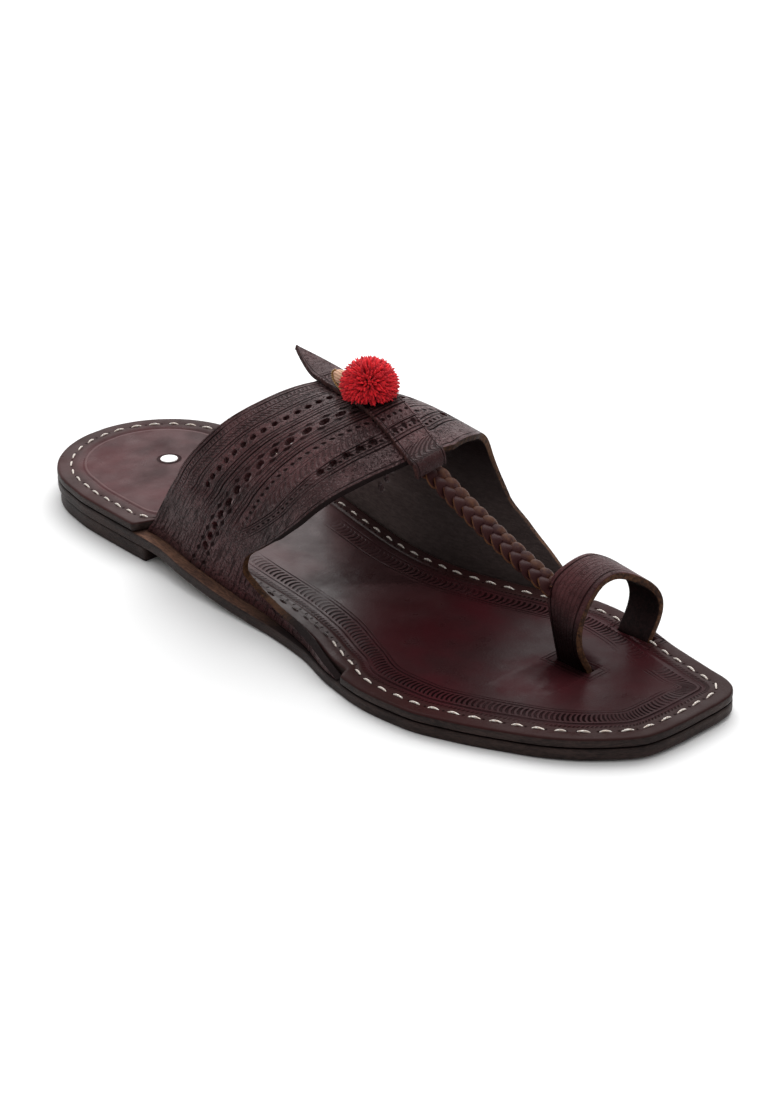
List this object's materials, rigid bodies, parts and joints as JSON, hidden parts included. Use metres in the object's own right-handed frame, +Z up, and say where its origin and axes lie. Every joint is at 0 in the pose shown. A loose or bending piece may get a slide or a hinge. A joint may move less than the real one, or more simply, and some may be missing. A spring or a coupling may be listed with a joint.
{
  "type": "kolhapuri sandal",
  "caption": "Flat leather sandal for the right foot with a punched instep strap, braided centre strap, toe loop and red yarn pompom.",
  "frame": {"origin": "middle of the sandal's bounding box in plan, on the floor plane", "axes": "+Y to the toe along the sandal's length, +X to the outer side of the right foot, +Z up from the floor"},
  "size_m": [0.0936, 0.2798, 0.0842],
  "materials": {
    "sole_leather": "dyed, rough cut edge",
    "insole_leather": "dyed and polished, semi-gloss",
    "strap_leather": "dyed and polished, semi-gloss",
    "yarn": "matt wool yarn",
    "thread": "wound thread, satin"
  },
  "bodies": {
    "root": {"outsole": "sole_leather", "heel_lift": "sole_leather", "insole": "insole_leather", "upper": "strap_leather", "centre_strip": "strap_leather", "pompom": "yarn", "neck_bead": "thread"}
  },
  "joints": []
}
